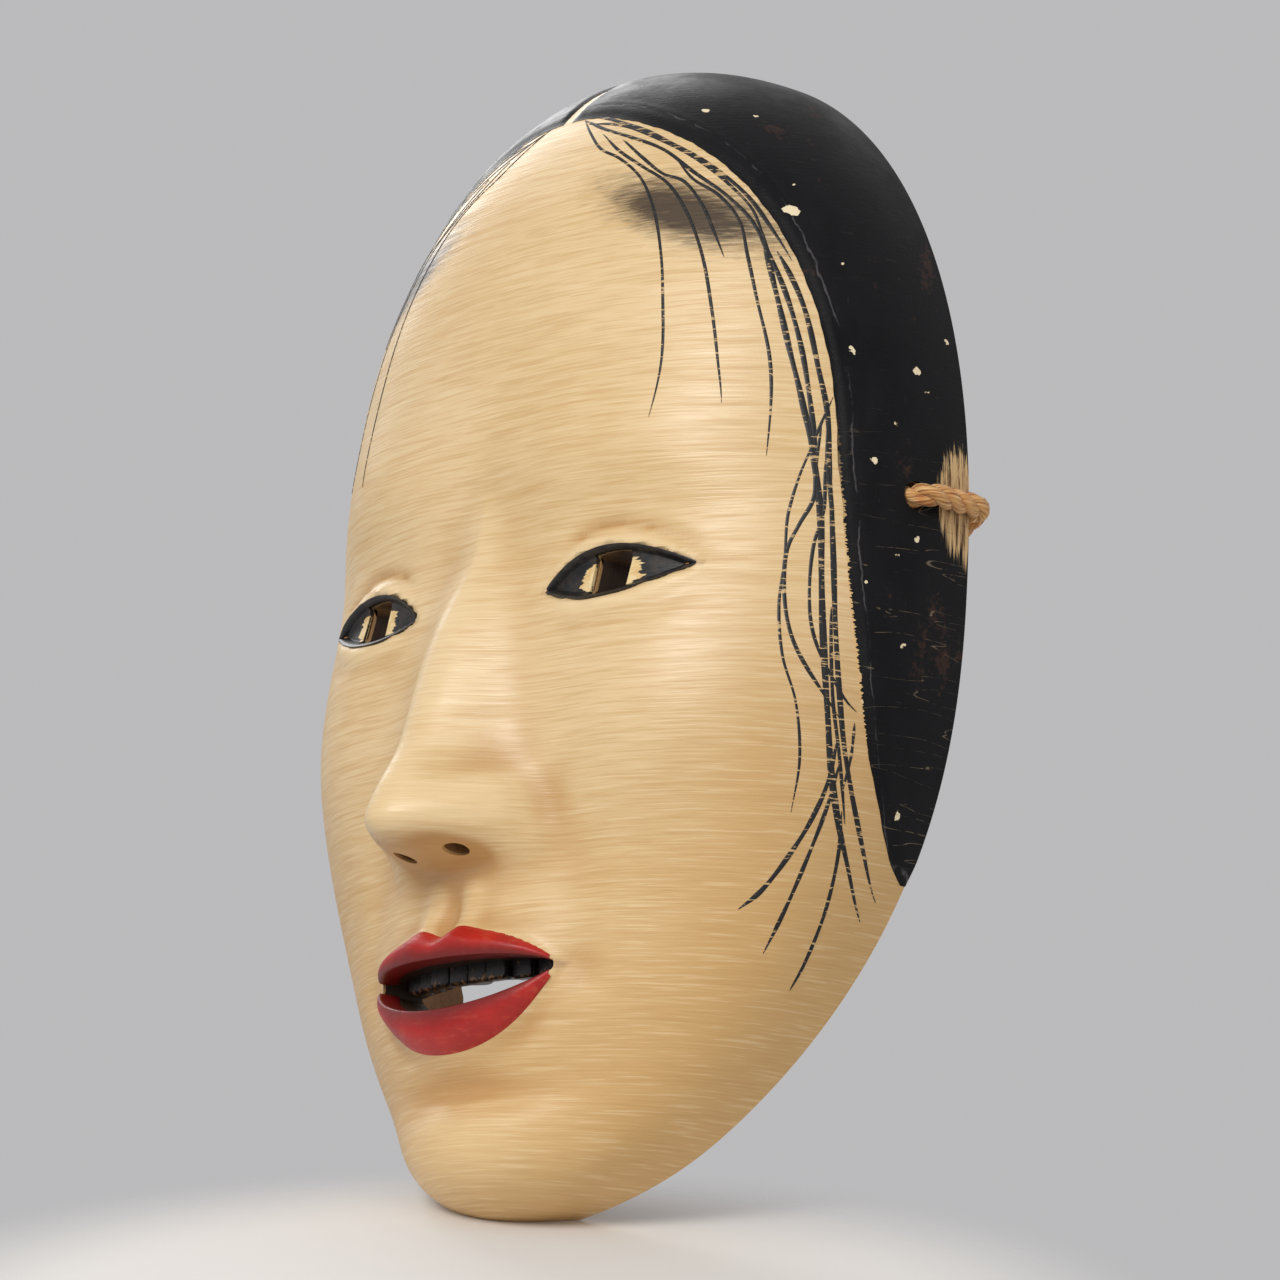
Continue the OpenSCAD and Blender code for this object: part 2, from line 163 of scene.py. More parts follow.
def add_piece(name, bm, material, sharp=45):
    """Links a finished mesh, shaded smooth but for edges sharper than an angle."""
    bmesh.ops.recalc_face_normals(bm, faces=bm.faces)
    mesh = bpy.data.meshes.new(name)
    bm.to_mesh(mesh)
    bm.free()
    mesh.shade_smooth()
    mesh.set_sharp_from_angle(angle=radians(sharp))
    mesh.materials.append(material)
    piece = bpy.data.objects.new(name, mesh)
    bpy.context.scene.collection.objects.link(piece)
    return piece


def tone(red, green, blue):
    """A screen colour, 0 to 255, as the paint's own linear colour."""
    return (*[(((c / 255) + 0.055) / 1.055)**2.4 if c > 10 else c / 3295
              for c in (red, green, blue)], 1)


def wire(tree, kind, settings=None, out=0, **sockets):
    """Adds a node, sets or links its sockets, and returns one of its outputs."""
    made = tree.nodes.new("ShaderNode" + kind)
    for name, value in (settings or {}).items():
        setattr(made, name, value)
    for name, value in sockets.items():
        socket = made.inputs[name.replace("_", " ")]
        if isinstance(value, bpy.types.NodeSocket):
            tree.links.new(value, socket)
        else:
            socket.default_value = value
    return made.outputs[out]


def new_finish(name, **surface):
    """A material, its node tree and its shader, with the shader's plain values set."""
    material = bpy.data.materials.new(name)
    material.use_nodes = True
    shader = material.node_tree.nodes["Principled BSDF"]
    for socket, value in surface.items():
        shader.inputs[socket.replace("_", " ")].default_value = value
    return material, material.node_tree, shader


def speckle(tree, place, scale, detail=3.0, rough=0.6, shift=0.0):
    """Noise over a place, with its own scale per axis, about 0.3 to 0.7."""
    spread = wire(tree, "Mapping", Vector=place, Scale=scale, Location=(shift, shift, shift))
    return wire(tree, "TexNoise", Vector=spread, Scale=1.0, Detail=detail, Roughness=rough)


def ramp(tree, value, low, high, top=1.0, bottom=0.0):
    """Turns a value that runs from low to high into a soft step from bottom to top."""
    return wire(tree, "MapRange", {"interpolation_type": "SMOOTHSTEP"}, Value=value,
                From_Min=low, From_Max=high, To_Min=bottom, To_Max=top)


def coat_over(tree, amount, under, over, kind="MIX"):
    return wire(tree, "MixRGB", {"blend_type": kind}, Fac=amount, Color1=under, Color2=over)


def reckon(tree, operation, first, second=0.0):
    made = tree.nodes.new("ShaderNodeMath")
    made.operation = operation
    for socket, value in zip(made.inputs, (first, second)):
        if isinstance(value, bpy.types.NodeSocket):
            tree.links.new(value, socket)
        else:
            socket.default_value = value
    return made.outputs[0]


def add_share(tree, first, second, share):
    return reckon(tree, "ADD", first, reckon(tree, "MULTIPLY", second, share))


def finish_with(tree, shader, colour=None, roughness=None, height=None, depth=0.0):
    """Links a colour, a roughness and a height, whose depth is in mm, to the shader."""
    for value, socket in ((colour, "Base Color"), (roughness, "Roughness")):
        if value is not None:
            tree.links.new(value, shader.inputs[socket])
    if height is not None:
        bump = wire(tree, "Bump", Height=height, Distance=depth * MM, Strength=1.0)
        tree.links.new(bump, shader.inputs["Normal"])


hemp, tree, shader = new_finish("hemp", Roughness=0.72, Sheen_Weight=0.15)
shader.inputs["Specular IOR Level"].default_value = 0.25
yarn_place = wire(tree, "UVMap")
strung = wire(tree, "Mapping", Vector=yarn_place, Scale=(16, 0.16, 1))
fibre = wire(tree, "TexNoise", Vector=strung, Scale=1.0, Detail=4.0, Roughness=0.65)
patch = speckle(tree, wire(tree, "TexCoord", out=3), (160, 160, 160), 2.0)
straw = coat_over(tree, ramp(tree, fibre, 0.34, 0.54), tone(140, 88, 44), tone(218, 166, 104))
straw = coat_over(tree, ramp(tree, fibre, 0.54, 0.7), straw, tone(248, 216, 164))
straw = coat_over(tree, ramp(tree, patch, 0.45, 0.7, 0.6), straw, tone(214, 150, 92), "MULTIPLY")
finish_with(tree, shader, colour=straw, height=fibre, depth=0.16)

chance = np.random.default_rng(11)
cord_line = smooth_route(cord_route, 0.6)
bm = bmesh.new()
lay_rope(bm, cord_line, strand_thick, strand_out, lay_length)
fray(bm, cord_line, 90, 3.0, 1.1, chance)
cord = add_piece("hanging_cord", bm, hemp)

# Each end is stopped by a tight overhand knot inside the mask, with a frayed tail.
knot_middle = Vector((57.8, -12, 16))
knot_size = 1.2          # the knot's line reaches three times this from its middle
knot_thick = 1.5
for side, name in ((1, "stopper_knot_left"), (-1, "stopper_knot_right")):
    middle = np.array((side * knot_middle.x, knot_middle.y, knot_middle.z))
    t = np.linspace(0, 2 * pi, 120)
    loop = knot_size * np.stack([-1.15 * side * np.sin(3 * t), np.sin(t) + 2 * np.sin(2 * t),
                                 np.cos(t) - 2 * np.cos(2 * t)], axis=1)
    tail = smooth_route([middle + (-side * 1, 1.0, 0.5), middle + (-side * 3.2, 1.4, -0.6),
                         middle + (-side * 4.6, 1.2, -3.4), middle + (-side * 5, 0.9, -6)], 0.6)
    bm = bmesh.new()
    lay_rope(bm, middle + loop, knot_thick, 0.72, 6.0)
    lay_rope(bm, tail, knot_thick, 0.74, 8.0)
    fray(bm, tail[-4:], 40, 3.4, 0.8, chance)
    knot = add_piece(name, bm, hemp)
    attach(knot, "root")
    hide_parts("knot_left" if side > 0 else "knot_right")

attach(cord, "root")
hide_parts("cord")

# ---- Carved wood ------------------------------------------------------------------
# One block of cypress. The front is carved to the face, and the back is hollowed
# with a gouge to an even wall, which leaves rows of shallow scoops.
low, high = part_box("ground_coat")
half_w, half_h = high.x / MM, high.z / MM
dome_depth = 50.0
chin_lift = 26.0         # how far the rim rises forward under the chin
crown_shift = 12.0       # the widest level stands this far above the middle
ground_thick = 0.6
wall_thick = 6.2


def smooth(a, b, t):
    k = np.clip((t - a) / (b - a), 0, 1)
    return k * k * (3 - 2 * k)


def hill(ax, z, cx, cz, rx, rz, p=2.0):
    return np.exp(-(((ax - cx) / rx)**2 + ((z - cz) / rz)**2)**(p / 2))


def dome(X, Q, inset=0.0):
    """The plain dome over the unit disc: x, depth and z."""
    s = np.clip(np.hypot(X, Q), 1e-6, 1)
    low_part = np.maximum(-Q, 0)
    x = (half_w - inset) * X * (1 + 0.34 * low_part**2 * (1 - low_part) - 0.03 * low_part**3)
    z = (half_h - inset) * Q + crown_shift * (1 - Q * Q)
    rim = chin_lift * (low_part / s)**3
    n = 2.45 + low_part
    return x, rim + (dome_depth - inset - rim) * np.maximum(1 - s**n, 0)**(1 / n), z


def disc_at(x, z):
    """The place on the unit disc that is under x and z of the dome's front."""
    Q = (half_h - np.sqrt(half_h**2 - 4 * crown_shift * (z - crown_shift))) / (2 * crown_shift)
    return x / dome(np.ones_like(Q), Q)[0], Q


# The eyes: two lids over a base line, from the inner to the outer corner.
eye_in, eye_out, eye_mid, eye_tilt = 17.0, 46.5, 30.5, 2.0
eye_recess = 2.3         # from the lids' edges to the ground coat between them


def lids(ax):
    t = np.clip((ax - eye_in) / (eye_out - eye_in), 0, 1)
    upper = eye_tilt * t + 5.6 * np.maximum(np.sin(pi * t**0.8), 0)**0.9
    lower = eye_tilt * t - 3.4 * np.maximum(np.sin(pi * t**0.92), 0)**0.95
    return lower, upper


# The mouth: an opening round a line that rises to its corners, between two lips.
mouth_z, mouth_half = -66.5, 22.5


def mouth_lines(ax):
    """The lower lip's edge, the opening's lower and upper line, the upper lip's edge."""
    t = np.clip(ax / mouth_half, 0, 1)
    arch = np.sqrt(1 - t * t)
    middle = mouth_z + 0.0032 * ax * ax
    upper = middle + 3.6 * arch
    lower = middle - 5.2 * arch**1.2
    bow = 0.5 * np.exp(-((ax - 5.5) / 3)**2) - np.exp(-(ax / 2.6)**2)
    return (lower - 7.2 * (1 - t**2.4)**0.8, lower, upper,
            upper + 5 * (1 - t**2.4)**0.9 + bow)


def lip_roll(high, q, ax):
    t = np.clip(ax / mouth_half, 0, 1)
    wide = np.where(q > 0.42, 0.54, 0.75)
    return high * np.sqrt(1 - t**2.2) * np.exp(-((q - 0.42) / wide)**2)


def front_relief(ax, z):
    """How far the carved features stand out of the plain dome."""
    brow = 1.9 * hill(ax, z, 27, 24, 25, 12) - 1.2 * hill(ax, z, 56, 25, 12, 18)
    sockets = (-5.2 * hill(ax, z, 31, 3, 21, 13) - 2.6 * hill(ax, z, 3, 10, 10, 11)
               + 4.6 * hill(ax, z, 31.5, 0.6, 16.5, 10.5, 2.2))
    run = np.clip((20 - z) / 60, 0, 1)
    base = -48 + 0.02 * ax * ax
    under = smooth(base, base + 11, z)
    nose = (12.5 * run * (1.3 - 0.3 * run) * under * np.exp(-(ax / (7.4 + 4.2 * run))**2.1)
            + 5.6 * run**1.3 * under * np.exp(-(ax / 17.5)**2.6)
            + 4.6 * hill(ax, z, 0, -38.5, 9.5, 8.5, 2.2)
            + 6.2 * hill(ax, z, 12.8, -40, 6.4, 6.6, 2.3))
    bottom, lower, upper, top = mouth_lines(ax)
    mouth = (7 * hill(ax, z, 0, -66, 28, 18, 2.3) - 1.3 * hill(ax, z, 0, -54.5, 2.6, 4.6)
             + 0.7 * hill(ax, z, 5, -55, 2.4, 5.5) - 1.3 * hill(ax, z, 26.5, -65, 5, 5)
             + lip_roll(3.2, (z - upper) / np.maximum(top - upper, 0.6), ax)
             + lip_roll(3.8, (lower - z) / np.maximum(lower - bottom, 0.6), ax))
    chin = -2.4 * hill(ax, z, 0, -85, 18, 3.8) + 11 * hill(ax, z, 0, -97, 26, 13)
    cheeks = (4 * hill(ax, z, 38, -20, 19, 21) - hill(ax, z, 25, -50, 6, 12)
              - 0.8 * hill(ax, z, 44, -58, 14, 18))
    return brow + sockets + nose + mouth + chin + cheeks


def lid_relief(ax, z, set_back=eye_recess):
    """The fold over each eye, the lids' edges, and the eyeball set back between them."""
    lower, upper = lids(ax)
    t = np.clip((ax - eye_in) / (eye_out - eye_in), 0, 1)
    fold = upper + 4.2 - 1.4 * t
    near = smooth(17, 24, ax) * (1 - smooth(42, 50, ax))
    gap = np.minimum(upper - z, z - lower)
    inside = (ax > eye_in) & (ax < eye_out)
    return (-1.0 * np.exp(-((z - fold) / 1.2)**2) * near
            + 0.7 * np.exp(-((z - fold + 2.5) / 1.9)**2) * near
            + 0.5 * np.exp(-((z - lower + 1.4) / 1.5)**2) * near
            - 0.5 * np.exp(-((z - lower + 5) / 2.4)**2) * near
            - set_back * smooth(-0.2, 1.2, gap) * inside)


def front_place(X, Q, set_back=eye_recess):
    x, d, z = dome(X, Q)
    ax, front = np.abs(x), smooth(18, 34, d)
    stand = front * (front_relief(ax, z) + lid_relief(ax, z, set_back))
    tuck = -3.2 * front * hill(ax, z, 0, -39.5, 19, 5.5)
    return np.stack([x, -(d + stand), z + tuck], axis=-1)


def front_at(X, Q, lift=0.0, set_back=eye_recess):
    """The carved front, raised by "lift" mm along its own normal, as points in mm."""
    e = 0.0015
    s = np.hypot(X, Q)
    pull = np.minimum(1, (1 - 2 * e) / np.maximum(s, e))
    A, B = X * pull, Q * pull
    normal = unit(np.cross(front_place(A + e, B, set_back) - front_place(A - e, B, set_back),
                           front_place(A, B + e, set_back) - front_place(A, B - e, set_back)))
    flat = unit(normal * (1, 0, 1))
    normal = np.where((s > 1 - e)[:, None], flat, normal)
    return front_place(X, Q, set_back) + np.asarray(lift).reshape(-1, 1) * normal


crowd_x, crowd_z = 0.35, 0.30    # how much the grid crowds towards the features
crowd_middle = 0.35              # where it crowds most, below the middle


def to_disc(u, v):
    """A square grid's places moved to the unit disc, closest together at the features."""
    u = u - crowd_x / pi * np.sin(pi * u)
    v = v - crowd_z / pi * (np.sin(pi * (v + crowd_middle)) + np.sin(pi * crowd_middle))
    v = np.clip(v, -1, 1)
    a, b = u * np.sqrt(1 - v * v / 2), v * np.sqrt(1 - u * u / 2)
    r = np.hypot(a, b) + 1e-9
    s = np.sin(np.minimum(r, 1) * pi / 2)
    return a / r * s, b / r * s


def two_sheets(columns, rows, outer, inner):
    """A closed body between two sheets. Each turns grid places, -1 to 1, into mm."""
    bm = bmesh.new()
    near = bmesh.ops.create_grid(bm, x_segments=columns, y_segments=rows, size=1)["verts"]
    made = bmesh.ops.extrude_face_region(bm, geom=bm.faces[:])["geom"]
    far = [v for v in made if isinstance(v, bmesh.types.BMVert)]
    for verts, shape in ((near, outer), (far, inner)):
        flat = np.array([v.co[:2] for v in verts], float)
        for v, place in zip(verts, shape(flat[:, 0], flat[:, 1]) * MM):
            v.co = place
    return bm


def cut_body(outline, near, far):
    """A closed prism along the depth over an outline of x and z in mm."""
    bm = bmesh.new()
    rim = bm.faces.new([bm.verts.new((x * MM, -near * MM, z * MM)) for x, z in outline])
    moved = bmesh.ops.extrude_face_region(bm, geom=[rim])["geom"]
    verts = [v for v in moved if isinstance(v, bmesh.types.BMVert)]
    bmesh.ops.translate(bm, verts=verts, vec=(0, -(far - near) * MM, 0))
    return bm


def bore_body(middle, direction, thick, long):
    """A closed round bar, for a bore."""
    bm = bmesh.new()
    bmesh.ops.create_cone(bm, cap_ends=True, segments=40, radius1=thick / 2 * MM,
                          radius2=thick / 2 * MM, depth=long * MM)
    turned = Vector((0, 0, 1)).rotation_difference(Vector(direction))
    bmesh.ops.rotate(bm, verts=bm.verts, matrix=turned.to_matrix())
    bmesh.ops.translate(bm, verts=bm.verts, vec=Vector(middle) * MM)
    return bm


pupil_wide = 7.6
nostril_wide = 4.2
nostril_x, nostril_y, nostril_z = 6.6, -60.0, -47.0    # on the bore, under the nose
nostril_lean = radians(42)                             # from upright, back to the hollow
cord_hole_x, cord_hole_wide = 69, 5.0


def openings():
    """The mouth, and each side's pupil, nostril and cord hole."""
    xs = np.linspace(-mouth_half + 0.6, mouth_half - 0.6, 49)
    _, lower, upper, _ = mouth_lines(np.abs(xs))
    yield cut_body([*zip(xs, lower), *zip(xs[::-1], upper[::-1])], 30, 90)
    for side in (-1, 1):
        xs = np.linspace(eye_mid - pupil_wide / 2, eye_mid + pupil_wide / 2, 9)
        lower, upper = lids(xs)
        yield cut_body([*zip(side * xs, lower + 0.5), *zip(side * xs[::-1], upper[::-1] - 0.7)],
                       25, 80)
        up_and_back = (0, sin(nostril_lean), cos(nostril_lean))
        yield bore_body((side * nostril_x, nostril_y, nostril_z), up_and_back, nostril_wide, 44)
        yield bore_body((side * cord_hole_x, -12, 16), (1, 0, 0), cord_hole_wide, 40)


def cut_openings(piece):
    """Cuts every opening through a piece and leaves a plain mesh."""
    cutters = []
    for bm in openings():
        bmesh.ops.recalc_face_normals(bm, faces=bm.faces)
        mesh = bpy.data.meshes.new("cutter")
        bm.to_mesh(mesh)
        bm.free()
        cutter = bpy.data.objects.new("cutter", mesh)
        bpy.context.scene.collection.objects.link(cutter)
        cutters.append(cutter)
        cut = piece.modifiers.new("cut", "BOOLEAN")
        cut.operation, cut.solver, cut.object = "DIFFERENCE", "MANIFOLD", cutter
    bpy.context.view_layer.update()
    shaped = piece.evaluated_get(bpy.context.evaluated_depsgraph_get())
    mesh = bpy.data.meshes.new_from_object(shaped)
    piece.modifiers.clear()
    piece.data = mesh
    for cutter in cutters:
        bpy.data.objects.remove(cutter)


def mark(piece, name, value):
    """Stores one number at every vertex, worked out from x, y and z in mm."""
    mesh = piece.data
    places = np.zeros(len(mesh.vertices) * 3)
    mesh.vertices.foreach_get("co", places)
    layer = mesh.attributes.new(name, "FLOAT", "POINT")
    layer.data.foreach_set("value", value(*(places.reshape(-1, 3).T / MM)).astype(np.float32))


def marked(tree, name):
    """The number that mark() stored under a name, for a material."""
    return wire(tree, "Attribute", {"attribute_name": name}, out=2)


# The gouge's scoops stand in staggered rows, 8 mm by 12.5 mm, none quite in its place.
scoops = np.array([(8 * column + 4 * (row % 2), 12.5 * row)
                   for row in range(-9, 10) for column in range(-9, 10)])
scoops = scoops + np.random.default_rng(5).uniform(-1.3, 1.3, scoops.shape)


def scooped(x, z):
    """0 in the middle of a gouge's scoop, and about 0.5 on the crests between them."""
    apart = np.full(len(x), 0.9)
    for cx, cz in scoops:
        apart = np.minimum(apart, ((x - cx) / 5.5)**2 + ((z - cz) / 9)**2)
    return apart


def hollow_at(X, Q):
    inset = ground_thick + wall_thick
    x, d, z = dome(X, Q, inset)
    ax = np.abs(x)
    room = (9 * hill(ax, z, 0, -28, 12, 18) - 2.5 * hill(ax, z, 31, 3, 19, 11)
            + 3 * hill(ax, z, 0, -66, 25, 15) + 5 * hill(ax, z, 0, -93, 18, 11))
    gouged = 1.2 * (scooped(x, z) - 0.3) * smooth(1, 8, d)
    return np.stack([x, -(d + room * smooth(18, 34, d) - gouged), z], axis=-1)


wood, tree, shader = new_finish("cypress", Roughness=0.62)
shader.inputs["Specular IOR Level"].default_value = 0.35
place = wire(tree, "TexCoord", out=3)
bend = speckle(tree, place, (16, 16, 6), 2.0)
across = wire(tree, "SeparateXYZ", Vector=place, out=0)
rings = reckon(tree, "ADD", reckon(tree, "MULTIPLY", across, 1500.0), reckon(tree, "MULTIPLY", bend, 34.0))
rings = reckon(tree, "SINE", rings)
pores = speckle(tree, place, (1500, 1500, 60), 4.0, 0.65)
age = speckle(tree, place, (28, 28, 20), 4.0, 0.6, 3.0)
dirt_and_bore_shade = marked(tree, "dirt_and_bore_shade")
scoop = marked(tree, "scoop")
timber = coat_over(tree, ramp(tree, rings, -0.6, 1), tone(158, 116, 72), tone(138, 97, 58))
timber = coat_over(tree, ramp(tree, pores, 0.48, 0.7, 0.7), timber, tone(92, 60, 34))
# Painted light: the crests between the gouge's scoops are painted lighter, so that the scoops show.
timber = coat_over(tree, ramp(tree, scoop, 0.36, 0.62, 0.45), timber, tone(178, 134, 86))
timber = coat_over(tree, ramp(tree, age, 0.46, 0.66, 0.6), timber, tone(104, 72, 44))
# Darker with dirt, and with painted shade where the nostrils' bores are.
dirt_and_shade_dark = ramp(tree, add_share(tree, dirt_and_bore_shade, age, 0.4), 0.4, 0.8, 0.9)
timber = coat_over(tree, dirt_and_shade_dark, timber, tone(36, 25, 18))
finish_with(tree, shader, colour=timber, height=pores, depth=0.25,
            roughness=ramp(tree, age, 0.3, 0.7, 0.7, 0.5))

bm = two_sheets(150, 186, lambda u, v: front_at(*to_disc(u, v), -ground_thick),
                lambda u, v: hollow_at(*to_disc(u, v)))
carved = add_piece("carved_body", bm, wood, 50)
cut_openings(carved)


def dirt_and_bore_shade_of(x, y, z):
    """Ink and dirt round the mouth and the eyes and along the rim, and painted shade in and round the
    nostrils' bores.
    """
    ax = np.abs(x)
    return (hill(ax, z, 0, mouth_z, 27, 9, 4) + hill(ax, z, eye_mid, 1, 7, 5, 4)
            + 0.4 * hill(ax, z, 6.6, -35, 4.5, 6, 2) + 0.35 * smooth(-2.5, 0, y))


mark(carved, "dirt_and_bore_shade", dirt_and_bore_shade_of)
# The crests between the scoops, where light is painted on.
mark(carved, "scoop", lambda x, y, z: scooped(x, z) * smooth(-1, -7, y))
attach(carved, "root")
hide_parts("wood_core")

# ---- Ground coat ------------------------------------------------------------------
# Many thin layers of powdered shell and glue, tinted to a warm flesh colour and brushed
# across the face. It is worn at the rim, with painted shade in its grooves and painted light on its crests.
skin, tree, shader = new_finish("flesh_coat", Roughness=0.5)
shader.inputs["Specular IOR Level"].default_value = 0.5
place = wire(tree, "TexCoord", out=3)
warp = wire(tree, "TexNoise", Vector=place, Scale=22.0, Detail=2.0, out=1)
warp = wire(tree, "VectorMath", {"operation": "SCALE"}, Vector=warp, Scale=0.002)
bowed = tree.nodes.new("ShaderNodeVectorMath")
tree.links.new(place, bowed.inputs[0])
tree.links.new(warp, bowed.inputs[1])
bowed = bowed.outputs[0]
cloud = speckle(tree, place, (26, 26, 30), 4.0, 0.6)
broad = speckle(tree, bowed, (42, 42, 1000), 3.0, 0.5, 2.0)
fine = speckle(tree, bowed, (95, 95, 3000), 2.0, 0.5, 7.0)
ridges = speckle(tree, bowed, (110, 110, 3600), 1.0, 0.5, 11.0)
grit = speckle(tree, place, (1400, 1400, 1700), 3.0, 0.6, 5.0)
relief_shade_and_light = marked(tree, "relief_shade_and_light")
height_z = wire(tree, "SeparateXYZ", Vector=place, out=2)
flesh = coat_over(tree, ramp(tree, cloud, 0.36, 0.64, 0.7), tone(231, 202, 154), tone(220, 187, 133))
depth_y = wire(tree, "SeparateXYZ", Vector=place, out=1)
# Painted shade: the lower face's sides and the jaw are painted darker, where the light falls off.
painted_jaw_shade = reckon(tree, "MULTIPLY", ramp(tree, height_z, 0.01, -0.035), ramp(tree, depth_y, -0.056, -0.03))
flesh = coat_over(tree, reckon(tree, "MULTIPLY", painted_jaw_shade, 0.85), flesh, tone(206, 164, 104))
# Painted shade: darker still towards the chin.
flesh = coat_over(tree, ramp(tree, height_z, -0.03, -0.09, 0.6), flesh, tone(212, 170, 108))
flesh = coat_over(tree, ramp(tree, broad, 0.48, 0.7, 0.34), flesh, tone(202, 160, 100))
flesh = coat_over(tree, ramp(tree, fine, 0.5, 0.66, 0.36), flesh, tone(198, 154, 96))
flesh = coat_over(tree, ramp(tree, fine, 0.46, 0.32, 0.3), flesh, tone(244, 222, 178))
# Painted shade in the grooves and painted light on the crests of the carved features.
flesh = coat_over(tree, ramp(tree, relief_shade_and_light, 0.0, 1.0, 0.75), flesh, tone(190, 142, 84))
flesh = coat_over(tree, ramp(tree, relief_shade_and_light, 0.0, -1.0, 0.4), flesh, tone(246, 220, 172))
corner_and_lid_dark = marked(tree, "corner_and_lid_dark")
corner_and_lid_darkened = ramp(tree, add_share(tree, corner_and_lid_dark, broad, 0.3), 0.35, 1.1, 0.85)
# Darker at the mouth's corners and along the lids' edges.
flesh = coat_over(tree, corner_and_lid_darkened, flesh, tone(120, 78, 44))
smudge = marked(tree, "brow")
hairs = speckle(tree, bowed, (200, 200, 1900), 4.0, 0.7, 9.0)
smudged = ramp(tree, reckon(tree, "ADD", smudge, hairs), 0.62, 1.35, 0.95)
flesh = coat_over(tree, smudged, flesh, tone(52, 37, 24))
worn = marked(tree, "worn")
bared = ramp(tree, add_share(tree, worn, cloud, 0.8), 0.95, 1.05)
flesh = coat_over(tree, bared, flesh, tone(138, 96, 56))
relief = reckon(tree, "ADD", reckon(tree, "MULTIPLY", ridges, 0.5), reckon(tree, "MULTIPLY", grit, 0.15))
relief = add_share(tree, relief, broad, 0.6)
finish_with(tree, shader, colour=flesh, height=relief, depth=0.1,
            roughness=ramp(tree, broad, 0.35, 0.7, 0.46, 0.34))

bm = two_sheets(190, 236, lambda u, v: front_at(*to_disc(u, v)),
                lambda u, v: front_at(*to_disc(u, v), -ground_thick + 0.04))
coat = add_piece("flesh_ground", bm, skin, 50)
cut_openings(coat)


def relief_shade_and_light_of(x, y, z):
    """Above zero in a groove and below zero on a crest, from the features' own heights: it paints shade
    into the grooves and light onto the crests.
    """
    def height(x, z):
        return front_relief(np.abs(x), z) + lid_relief(np.abs(x), z)

    reach = 4.5
    around = sum(height(x + reach * cos(a), z + reach * sin(a))
                 for a in np.arange(8) * pi / 4) / 8
    return (around - height(x, z)) / 1.2 * smooth(18, 34, -y)


brow_x, brow_z = 36, 67      # the middle of each painted brow
brow_long, brow_high = 18, 5.6
brow_lean = radians(-23)


def brow_of(x, y, z):
    """1 in the middle of a painted brow, fading to 0 round it."""
    ax = np.abs(x)
    along = (ax - brow_x) * cos(brow_lean) + (z - brow_z) * sin(brow_lean)
    over = -(ax - brow_x) * sin(brow_lean) + (z - brow_z) * cos(brow_lean)
    return np.exp(-((along / brow_long)**2 + (over / brow_high)**2)**0.9)


def corner_and_lid_dark_of(x, y, z):
    """Darker at the mouth's corners and along the lids' edges."""
    ax = np.abs(x)
    lower, upper = lids(ax)
    edge = np.maximum(z - upper, lower - z)
    rim = np.exp(-(np.maximum(edge, 0) / 1.3)**2) * (ax > eye_in - 1) * (ax < eye_out + 1)
    return 0.6 * hill(ax, z, 22.5, -65, 2.2, 1.4) + 0.5 * rim


mark(coat, "relief_shade_and_light", relief_shade_and_light_of)
mark(coat, "brow", brow_of)
mark(coat, "corner_and_lid_dark", corner_and_lid_dark_of)
mark(coat, "worn", lambda x, y, z: smooth(-3.5, 0, y))
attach(coat, "root")
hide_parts("ground_coat")

# ---- Hair ---------------------------------------------------------------------------
# Black ink and lacquer brushed over the ground, outside a hairline and on both sides
# of a bare parting. It is chipped, scratched and crazed, and the cord has rubbed it off.
hair_thick = 0.5
hair_end = -33.0         # degrees below the middle where the hair runs out at the rim
parting_half = 1.1       # degrees from the middle line to the hair


def hairline(phi):
    """The share of the way to the rim at which the hair starts, at an angle."""
    return (0.735 - 0.11 * smooth(10, 75, phi)
            + 0.265 * np.clip((6 - phi) / 42, 0, 2)**1.6)


def round_face(r, phi, side):
    """A place at an angle round the face, r of the way to the rim, on the unit disc."""
    s = np.sin(pi / 2 * np.clip(r, 0, 1))
    return side * s * np.cos(np.radians(phi)), s * np.sin(np.radians(phi))


def hair_places(u, v, side):
    phi = hair_end + (90 - parting_half - hair_end) * (u + 1) / 2
    share = ((v + 1) / 2)**1.35
    nick = (0.0008 * np.sin(phi * 0.9) + 0.0005 * np.sin(phi * 2.3 + 1)) * (1 - share)**20
    start = np.minimum(hairline(phi) + 0.027 * smooth(-18, -33, phi), 0.998)
    r = start + nick + (1 - start) * share
    return round_face(r, phi, side), (r - start) * 80, phi


def hair_over(side):
    def sheet(u, v):
        (X, Q), inward, phi = hair_places(u, v, side)
        ridge = 0.07 * np.exp(-((inward - 3.6) / 0.5)**2) * smooth(-10, 20, phi)
        rise = 0.05 + (hair_thick - 0.1) * smooth(0, 2.2, inward) + ridge
        rise = rise * smooth(-0.2, 1.2, 90 - parting_half - phi) + 0.03
        return front_at(X, Q, rise)
    return sheet


def hair_under(side):
    return lambda u, v: front_at(*hair_places(u, v, side)[0], -0.2)


